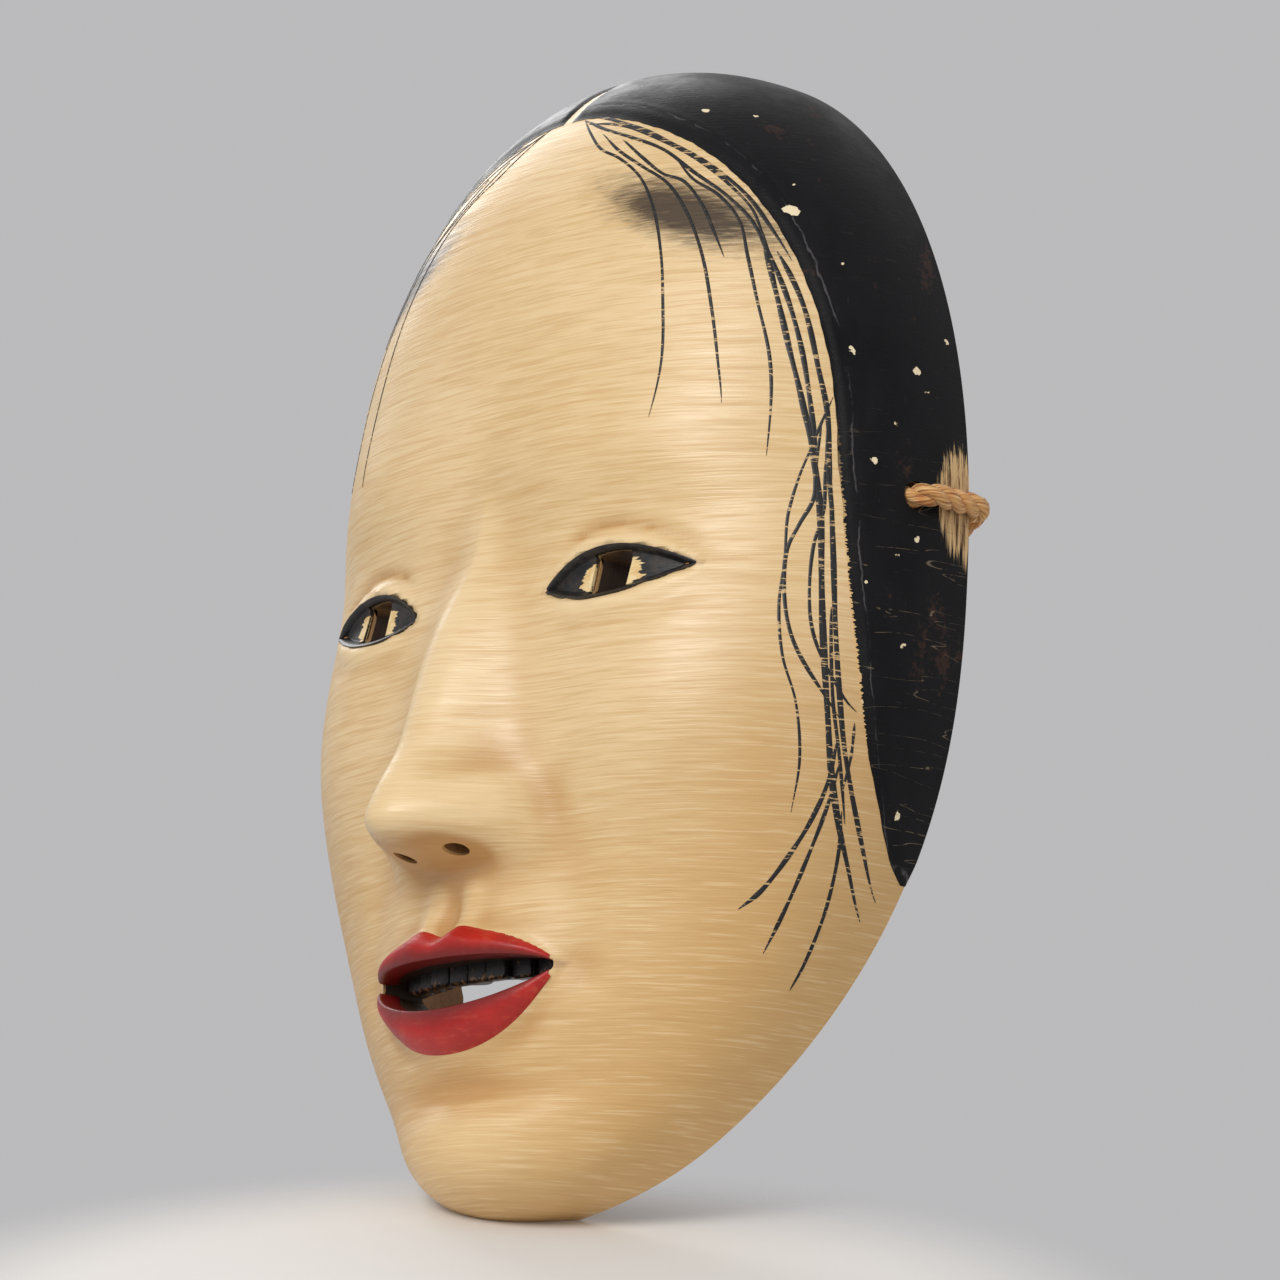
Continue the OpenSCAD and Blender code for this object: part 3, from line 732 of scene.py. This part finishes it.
# Places of the larger chips: angle, share of the way to the rim, and size in mm.
chips = [(37, 0.734, 2.0), (17, 0.782, 1.2), (15, 0.915, 1.3), (13, 0.933, 1.0), (19, 0.985, 1.2),
         (5, 0.809, 1.1), (-2, 0.904, 1.0), (-7, 0.81, 0.8), (-27, 0.963, 1.1), (56, 0.791, 1.0),
         (62, 0.72, 0.8), (50, 0.80, 0.8), (41, 0.76, 0.8), (28, 0.80, 0.7), (9, 0.86, 0.9),
         (1, 0.82, 0.7), (-12, 0.90, 1.0), (-18, 0.84, 0.7), (70, 0.86, 0.9), (80, 0.74, 0.7),
         (11, 0.90, 0.8), (-4, 0.87, 0.9)]


def chip_marks(side):
    spread = np.array(chips)
    places = front_at(*round_face(spread[:, 1], spread[:, 0], side))

    def value(x, y, z):
        total = np.zeros(len(x))
        for (cx, cy, cz), size in zip(places, spread[:, 2]):
            away = np.sqrt((x - cx)**2 + (y - cy)**2 + (z - cz)**2) / size
            total = np.maximum(total, np.exp(-away**2))
        return total
    return value


def rub_marks(x, y, z):
    """Where the cord and the wearer's hands have taken the black off."""
    ax = np.abs(x)
    beside_cord = np.exp(-((z - 16) / 12)**2) * smooth(-12.5, -2, y)
    rim = 0.4 * smooth(-2, 0.5, y)
    return np.maximum(beside_cord * (ax > 55), rim)


def edge_distance(x, y, z):
    """About how far a place is behind the hairline, in mm."""
    X, Q = disc_at(np.abs(x), np.minimum(z, half_h))
    r = np.arcsin(np.clip(np.hypot(X, Q), 0, 1)) * 2 / pi
    return (r - hairline(np.degrees(np.arctan2(Q, X)))) * 95


black, tree, shader = new_finish("hair_black")
shader.inputs["Specular IOR Level"].default_value = 0.2
place = wire(tree, "TexCoord", out=3)
height_z = wire(tree, "SeparateXYZ", Vector=place, out=2)
soot = speckle(tree, place, (90, 90, 60), 5.0, 0.65)
scratch = speckle(tree, place, (200, 200, 2600), 4.0, 0.7, 4.0)
scratch_up = speckle(tree, place, (1500, 1500, 90), 4.0, 0.7, 8.0)
grit = speckle(tree, place, (1100, 1100, 1100), 3.0, 0.6, 5.0)
clots = speckle(tree, place, (520, 520, 620), 2.0, 0.5, 6.0)
ink = coat_over(tree, ramp(tree, soot, 0.35, 0.65), tone(5, 5, 8), tone(13, 12, 15))
ink = coat_over(tree, ramp(tree, scratch, 0.62, 0.76, 0.35), ink, tone(78, 72, 68))
ink = coat_over(tree, ramp(tree, scratch_up, 0.64, 0.78, 0.3), ink, tone(78, 70, 64))
brown = ramp(tree, add_share(tree, soot, grit, 0.35), 0.78, 0.9, 0.5)
ink = coat_over(tree, brown, ink, tone(74, 50, 36))
edge = marked(tree, "behind_edge")
wander = add_share(tree, edge, soot, 5.0)
score = reckon(tree, "ABSOLUTE", reckon(tree, "SUBTRACT", wander, 6.6))
scored = reckon(tree, "MULTIPLY", ramp(tree, score, 0.3, 0.0), ramp(tree, soot, 0.42, 0.56, 0.4))
ink = coat_over(tree, scored, ink, tone(120, 116, 116))
cracks = speckle(tree, place, (32, 32, 330), 1.5, 0.45, 3.0)
cracks = ramp(tree, reckon(tree, "ABSOLUTE", reckon(tree, "SUBTRACT", cracks, 0.5)), 0.006, 0.001)
low_down = ramp(tree, height_z, 0.035, 0.0)
crazed = reckon(tree, "MULTIPLY", reckon(tree, "MULTIPLY", cracks, low_down), ramp(tree, clots, 0.42, 0.56))
ink = coat_over(tree, reckon(tree, "MULTIPLY", crazed, 0.5), ink, tone(150, 132, 108))
rub = marked(tree, "rubbed")
rubbed = add_share(tree, rub, scratch_up, 0.9)
bare = ramp(tree, rubbed, 0.92, 1.12)
grain = coat_over(tree, ramp(tree, scratch_up, 0.36, 0.56), tone(96, 64, 38), tone(214, 180, 130))
ink = coat_over(tree, bare, ink, grain)
chip = marked(tree, "chipped")
chipped = add_share(tree, chip, clots, 1.5)
chipped = ramp(tree, add_share(tree, chipped, grit, 0.4), 1.56, 1.62)
ink = coat_over(tree, chipped, ink, tone(238, 220, 184))
comb = speckle(tree, place, (260, 260, 2600), 2.0, 0.5, 1.0)
comb = reckon(tree, "SUBTRACT", reckon(tree, "MULTIPLY", comb, 3.2), edge)
fringed = reckon(tree, "MULTIPLY", ramp(tree, comb, 1.0, 1.15), ramp(tree, height_z, 0.03, 0.0))
ink = coat_over(tree, fringed, ink, tone(222, 186, 130))
sheen = coat_over(tree, chipped, ramp(tree, soot, 0.35, 0.65, 0.5, 0.34), (0.7, 0.7, 0.7, 1))
sheen = coat_over(tree, bare, sheen, (0.65, 0.65, 0.65, 1))
relief = reckon(tree, "ADD", reckon(tree, "MULTIPLY", grit, 0.25), reckon(tree, "MULTIPLY", scratch, 0.35))
relief = reckon(tree, "SUBTRACT", relief, reckon(tree, "MULTIPLY", chipped, 1.2))
relief = reckon(tree, "SUBTRACT", relief, reckon(tree, "MULTIPLY", crazed, 0.5))
finish_with(tree, shader, colour=ink, roughness=sheen, height=relief, depth=0.16)

for side, name in ((1, "left"), (-1, "right")):
    bm = two_sheets(300, 60, hair_over(side), hair_under(side))
    hair = add_piece("hair_coat_" + name, bm, black, 50)
    cut_openings(hair)
    mark(hair, "chipped", chip_marks(side))
    mark(hair, "rubbed", rub_marks)
    mark(hair, "behind_edge", edge_distance)
    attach(hair, "root")
    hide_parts("hair_" + name)

# ---- Loose strands of hair ------------------------------------------------------------
# Long thin strokes of the same ink, drawn with a small brush from the parting down
# over the forehead, temple and cheek. Each starts and ends in a point.
# A stroke is its width in mm and its places: the angle round the face, and how far
# inside the hairline it runs, in hundredths of the way from the middle to the rim.
strokes = [
    (0.7, [(85, 0.5), (78, 3), (70, 3.8), (61, 4), (52, 5), (44, 4.3), (38, 3.8), (33, 4.6),
        (30, 5.4)]),
    (0.6, [(83, 1.8), (74, 1.6), (66, 2.2), (56, 2.5), (46, 2.4), (40, 2.3), (36, 3.4), (32, 4.6)]),
    (0.8, [(85, -1), (76, 0.7), (68, 1.4), (60, 2.1), (50, 1.8), (42, 1.3), (36, 1.4), (30, 1.0)]),
    (0.55, [(86, -0.5), (81, 4), (75, 7.6), (68, 8.8), (60, 11), (52, 15), (43, 20.5), (34, 26),
        (24, 31), (16, 35)]),
    (0.6, [(77, 4.4), (70, 7.2), (62, 8.8), (54, 9.6), (46, 12), (38, 15), (29, 18.6), (21, 21),
        (14, 22)]),
    (0.6, [(71, 4.8), (64, 7), (57, 8.4), (52, 7.6), (46, 8.8), (40, 10.8), (35, 12.2)]),
    (0.6, [(57, 4.6), (51, 6.2), (45, 5.4), (39, 5.8), (33, 8.4), (26, 10.6), (18, 11.8),
        (11, 13.4), (6, 14.6)]),
    (1.0, [(36, 3.2), (30, 5.6), (24, 7.0), (18, 7.6), (12, 6.9), (7, 5.6), (0, 4.8)]),
    (0.9, [(35, 4.4), (28, 4.7), (20, 5.1), (13, 5.3), (8, 4.9), (3, 4.6)]),
    (0.95, [(32, 2.8), (24, 2.3), (16, 2.6), (10, 1.8), (3, 1.7)]),
    (0.5, [(12, 0.3), (9, 3.4), (6, 6), (3, 8.8), (-1, 11.8), (-6, 13.2), (-11, 15), (-16, 15.2),
        (-20, 13.6), (-25, 14.2), (-30, 17.2)]),
    (0.7, [(9, 3.2), (4, 5), (1, 6), (-2, 9.6), (-5, 12.6), (-9, 13.7), (-13, 13.3), (-16, 11),
        (-20, 5)]),
    (0.6, [(5, 2.8), (0, 4), (-4, 6.8), (-8, 8.3), (-12, 8.7), (-15, 7.2), (-18, 3.6), (-19, 1.2)]),
    (1.15, [(10, 5.8), (4, 5), (-2, 5), (-8, 5.8), (-14, 6.6), (-20, 7.3), (-25, 7.7), (-29, 6.9),
        (-33, 5), (-37, 3.6)]),
    (0.95, [(9, 2), (2, 2.3), (-5, 2.8), (-11, 3.6), (-17, 4.3), (-22, 4.5), (-26, 3.7), (-31, 1.9),
        (-35, 0.8)]),
    (0.65, [(-10, 4.2), (-15, 5.3), (-19, 5.9), (-23, 5.7), (-29, 5.5)]),
    (0.55, [(-20, 1.8), (-23, 3.2), (-26, 5.4)]),
    (0.8, [(-22, 5.8), (-26, 8.6), (-30, 13), (-34, 18.6), (-38, 25), (-41, 31)]),
    (0.7, [(-24, 5.8), (-28, 9), (-33, 13.8), (-38, 18.8), (-43, 24)]),
    (0.7, [(-28, 6), (-32, 7.2), (-37, 10), (-42, 14), (-45, 17)])]


def stroke_sheet(line, normal, across, wide, lift):
    """Points across and along a stroke; lift is how far its crown stands up, in mm."""
    def sheet(u, v):
        k = np.clip(np.rint((v + 1) / 2 * (len(line) - 1)).astype(int), 0, len(line) - 1)
        crown = lift * (1 - 0.75 * u * u)
        return line[k] + across[k] * (u * wide[k] / 2)[:, None] + normal[k] * crown[:, None]
    return sheet


def draw_stroke(wide, places, side, chance):
    phi, inset = np.array(places, float).T
    flat = smooth_route(np.stack([phi, inset, 0 * phi], axis=1), 0.35)
    r = hairline(flat[:, 0]) - flat[:, 1] / 100
    X, Q = round_face(r, flat[:, 0], side)
    line, raised = front_at(X, Q), front_at(X, Q, 1.0)
    normal = raised - line
    across = unit(np.cross(np.gradient(line, axis=0), normal))
    t = np.linspace(0, 1, len(line))
    press = 1 + 0.16 * np.sin(t * 23 + chance.uniform(0, 6)) * chance.uniform(0.3, 1)
    width = wide * press * np.sqrt(np.clip(np.minimum(t / 0.10, (1 - t) / 0.16), 0.02, 1))
    return two_sheets(4, len(line) - 1, stroke_sheet(line, normal, across, width, 0.1),
                      stroke_sheet(line, normal, across, width, -0.15))


brush_ink, tree, shader = new_finish("brush_ink", Roughness=0.45)
place = wire(tree, "TexCoord", out=3)
dash = speckle(tree, place, (300, 300, 2300), 2.0, 0.6, 2.0)
dry = speckle(tree, place, (700, 700, 500), 3.0, 0.6, 6.0)
line_ink = coat_over(tree, ramp(tree, dry, 0.4, 0.6), tone(8, 8, 9), tone(24, 22, 21))
skipped = ramp(tree, add_share(tree, dash, dry, 0.3), 0.73, 0.78, 0.9)
smudge = marked(tree, "brow")
under_ink = coat_over(tree, ramp(tree, smudge, 0.1, 0.5), tone(206, 172, 120), tone(50, 38, 27))
line_ink = coat_over(tree, skipped, line_ink, under_ink)
finish_with(tree, shader, colour=line_ink, height=dash, depth=0.1)

chance = np.random.default_rng(3)
for side, name in ((1, "left"), (-1, "right")):
    whole = bpy.data.meshes.new("strokes")
    bm = bmesh.new()
    for wide, places in strokes:
        part = draw_stroke(wide, places, side, chance)
        part.to_mesh(whole)
        part.free()
        bm.from_mesh(whole)
    bpy.data.meshes.remove(whole)
    loose = add_piece("loose_strands_" + name, bm, brush_ink)
    mark(loose, "brow", brow_of)
    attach(loose, "root")

# ---- Lips ---------------------------------------------------------------------------
# Vermilion paint over the ground coat. It is thickest in the middle of each lip,
# wraps over the lip's edge into the mouth, and is rubbed thin at its outline. Painted shade darkens it
# where it turns into the mouth.
vermilion, tree, shader = new_finish("vermilion", Roughness=0.42)
place = wire(tree, "TexCoord", out=3)
brushed = speckle(tree, place, (260, 260, 900), 4.0, 0.65)
patchy = speckle(tree, place, (110, 110, 110), 4.0, 0.6, 4.0)
into_mouth = marked(tree, "inward")
red = coat_over(tree, ramp(tree, patchy, 0.35, 0.65), tone(186, 26, 18), tone(164, 20, 14))
red = coat_over(tree, ramp(tree, brushed, 0.52, 0.7, 0.6), red, tone(192, 62, 42))
# Painted shade: the red is painted darker where the lip turns into the mouth.
red = coat_over(tree, ramp(tree, into_mouth, 0.4, 1.0, 0.75), red, tone(92, 18, 14))
faded = ramp(tree, reckon(tree, "SUBTRACT", brushed, into_mouth), 0.5, 0.95, 0.6)
red = coat_over(tree, faded, red, tone(206, 120, 80))
finish_with(tree, shader, colour=red, height=brushed, depth=0.14)

lip_corner = 0.8         # the paint stops this far from the corners of the mouth


def lip_sheet(upper_lip, lift):
    def sheet(u, v):
        x = (mouth_half - lip_corner) * u
        bottom, lower, upper, top = mouth_lines(np.abs(x))
        edge, inner = (top, upper) if upper_lip else (bottom, lower)
        out = np.clip((v + 0.7) / 1.7, 0, 1)
        z = inner + (edge - inner) * out
        points = front_at(*disc_at(x, z), lift * smooth(0, 0.15, 1 - out) + 0.02)
        return points + np.stack([0 * x, 4.5 * np.clip((-0.7 - v) / 0.3, 0, 1), 0 * x], axis=-1)
    return sheet


for name, upper_lip in (("upper_lip", True), ("lower_lip", False)):
    bm = two_sheets(110, 34, lip_sheet(upper_lip, 0.2), lip_sheet(upper_lip, -0.3))
    lip = add_piece("painted_" + name, bm, vermilion, 60)

    def inward(x, y, z):
        bottom, lower, upper, top = mouth_lines(np.abs(x))
        share = (z - upper) / (top - upper + 0.01) if upper_lip else (lower - z) / (lower - bottom + 0.01)
        return 1 - np.clip(share, 0, 1)

    mark(lip, "inward", inward)
    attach(lip, "root")
    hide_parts(name)

# ---- Eyes ---------------------------------------------------------------------------
# The eyeball between the lids is painted black, with a cream white on both sides of
# the opening that the wearer looks through. The whites end in fine brush strokes.
eye_paint, tree, shader = new_finish("eye_paint", Roughness=0.4)
place = wire(tree, "TexCoord", out=3)
fringe = speckle(tree, place, (260, 260, 2100), 3.0, 0.6)
worn_ink = speckle(tree, place, (500, 500, 500), 4.0, 0.6, 2.0)
white = marked(tree, "white")
whitened = ramp(tree, add_share(tree, white, fringe, 1.6), 1.3, 1.4)
cream = coat_over(tree, ramp(tree, worn_ink, 0.4, 0.65), tone(240, 214, 160), tone(222, 184, 122))
eye_ink = coat_over(tree, ramp(tree, worn_ink, 0.4, 0.7), tone(24, 22, 22), tone(52, 44, 38))
finish_with(tree, shader, colour=coat_over(tree, whitened, eye_ink, cream), height=fringe, depth=0.08)

eyeball_back = 1.4       # from the lids' edges to the painted eyeball
lash_over = 0.22         # the black runs this far over the lids' edges


def eye_sheet(side, lift):
    def sheet(u, v):
        ax = eye_in + 0.1 + (eye_out - eye_in - 0.2) * (u + 1) / 2
        lower, upper = lids(ax)
        z = lower - lash_over + (upper - lower + 2 * lash_over) * (v + 1) / 2
        X, Q = disc_at(ax, z)
        return front_at(side * X, Q, lift, eyeball_back)
    return sheet


def white_of(x, y, z):
    """The cream whites beside the opening, widest at the eye's middle."""
    ax = np.abs(x)
    lower, upper = lids(ax)
    share = (z - lower) / np.maximum(upper - lower, 0.5)
    away = np.abs(ax - eye_mid)
    ends = smooth(3.0, 3.9, away) * 1.2 * (1 - smooth(3.4, 8.4, away))
    return ends * smooth(0.06, 0.26, share) * (1 - smooth(0.6, 0.86, share))


for side, name in ((1, "eye_left"), (-1, "eye_right")):
    bm = two_sheets(120, 44, eye_sheet(side, 0.2), eye_sheet(side, -0.4))
    eye = add_piece("painted_" + name, bm, eye_paint, 60)
    cut_openings(eye)
    mark(eye, "white", white_of)
    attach(eye, "root")
    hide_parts(name)

# ---- Teeth --------------------------------------------------------------------------
# A row of small teeth carved behind the upper lip and painted black, as a married
# lady's were. Each one has a rounded front and a worn lower edge.
tooth_count = 8
tooth_pitch = 1.7 * mouth_half / tooth_count
tooth_low = mouth_z + 0.4
tooth_inset = 5.2        # from the upper lip's front to the teeth's fronts
tooth_deep = 2.8
bar_back = 4.0           # from the teeth's fronts to the back of the bar behind them
upper_lip_z = mouth_z + 9
bar_half = mouth_half * 0.93
tooth_black, tree, shader = new_finish("tooth_black", Roughness=0.35)
place = wire(tree, "TexCoord", out=3)
scuff = speckle(tree, place, (900, 900, 500), 4.0, 0.65)
tip = ramp(tree, wire(tree, "SeparateXYZ", Vector=place, out=2), -0.0642, -0.0662)
scuffed = ramp(tree, add_share(tree, scuff, tip, 0.14), 0.62, 0.7, 0.8)
enamel = coat_over(tree, scuffed, tone(30, 27, 27), tone(150, 112, 72))
finish_with(tree, shader, colour=enamel, height=scuff, depth=0.08)


def teeth_face(x):
    Z = np.full_like(x, upper_lip_z)
    return -front_at(*disc_at(x, Z))[:, 1] - tooth_inset


def teeth_top(x):
    """The teeth run a little way into the wood over the opening."""
    _, _, upper, _ = mouth_lines(np.abs(x))
    return upper + 0.8


def bar_sheet(back):
    """One face of the bar that the teeth stand on, so far behind their fronts."""
    def place_at(u, v):
        x = bar_half * u
        bar_low = tooth_low + 0.4
        z = bar_low + (teeth_top(x) - bar_low) * (v + 1) / 2
        return np.stack([x, back - teeth_face(x), z], axis=-1)
    return place_at


bm = bmesh.new()
for k in range(tooth_count):
    x = (k - (tooth_count - 1) / 2) * tooth_pitch
    made = bmesh.ops.create_cube(bm, size=1)["verts"]
    face, top = teeth_face(np.array([x]))[0], teeth_top(np.array([x]))[0]
    for v in made:
        v.co = (x + v.co.x * tooth_pitch * 0.97, -face + tooth_deep / 2 + v.co.y * tooth_deep,
                (tooth_low + top) / 2 + v.co.z * (top - tooth_low))
bmesh.ops.bevel(bm, geom=bm.edges[:], offset=0.75, offset_type="OFFSET", segments=4,
                profile=0.5, affect="EDGES", material=-1, clamp_overlap=True)
bmesh.ops.scale(bm, verts=bm.verts, vec=(MM, MM, MM))
bar = two_sheets(60, 4, bar_sheet(1.5), bar_sheet(bar_back))
spare = bpy.data.meshes.new("bar")
bar.to_mesh(spare)
bar.free()
bm.from_mesh(spare)
bpy.data.meshes.remove(spare)
teeth = add_piece("blackened_teeth", bm, tooth_black)
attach(teeth, "root")
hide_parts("teeth")

# ---- Floor, light and air -------------------------------------------------------------
# A plain pale floor meets the chin, leaning as the mask leans back, and fades into the
# air. A broad soft lamp lights the face, a weak one fills it, one lights the hollow.
lean_back = radians(7)
floor_up = (cos(lean_back) * camera_up + sin(lean_back) * towards_camera).normalized()
chin = Vector((0, -0.040, low.z))
floor_middle = chin + 0.07 * towards_camera
floor_middle -= (floor_middle - chin).dot(floor_up) * floor_up
air = tone(242, 241, 243)

floor_tone, tree, shader = new_finish("pale_floor", Roughness=0.85)
shader.inputs["Base Color"].default_value = tone(226, 224, 220)
place = wire(tree, "TexCoord", out=3)
from_middle = wire(tree, "Mapping", Vector=place, Location=-floor_middle)
away = wire(tree, "VectorMath", {"operation": "LENGTH"}, out=1, Vector=from_middle)
clear = wire(tree, "BsdfTransparent")
faded = ramp(tree, away, 0.07, 0.115)
output = tree.nodes["Material Output"]
mix = tree.nodes.new("ShaderNodeMixShader")
tree.links.new(faded, mix.inputs[0])
tree.links.new(shader.outputs[0], mix.inputs[1])
tree.links.new(clear, mix.inputs[2])
tree.links.new(mix.outputs[0], output.inputs[0])

bm = bmesh.new()
bmesh.ops.create_circle(bm, cap_ends=True, segments=96, radius=0.12)
bmesh.ops.rotate(bm, verts=bm.verts,
                 matrix=Vector((0, 0, 1)).rotation_difference(floor_up).to_matrix())
bmesh.ops.translate(bm, verts=bm.verts, vec=floor_middle)
floor_mesh = bpy.data.meshes.new("floor")
bm.to_mesh(floor_mesh)
bm.free()
floor_mesh.materials.append(floor_tone)
floor = bpy.data.objects.new("floor", floor_mesh)
bpy.context.scene.collection.objects.link(floor)


def hang_lamp(name, right, up, nearer, power, size, colour):
    """A square soft lamp, placed in metres right of, above and towards the camera."""
    lamp = bpy.data.lights.new(name, "AREA")
    lamp.energy, lamp.size, lamp.color = power, size, colour
    holder = bpy.data.objects.new(name, lamp)
    holder.location = mask_middle + right * camera_right + up * camera_up + nearer * towards_camera
    holder.rotation_mode = "QUATERNION"
    holder.rotation_quaternion = (mask_middle - holder.location).to_track_quat("-Z", "Y")
    bpy.context.scene.collection.objects.link(holder)


hang_lamp("key", -0.42, 0.6, 0.75, 5.9, 0.4, (1, 0.99, 0.98))
hang_lamp("fill", 0.42, 0.2, 0.85, 0.5, 0.16, (0.98, 0.99, 1))
hang_lamp("behind", -0.3, 0.55, -0.9, 4.0, 0.6, (1, 1, 1))
world = bpy.data.worlds.new("air")
world.use_nodes = True
world.node_tree.nodes["Background"].inputs["Color"].default_value = air
world.node_tree.nodes["Background"].inputs["Strength"].default_value = 0.56
bpy.context.scene.world = world
bpy.context.scene.view_settings.view_transform = "Standard"
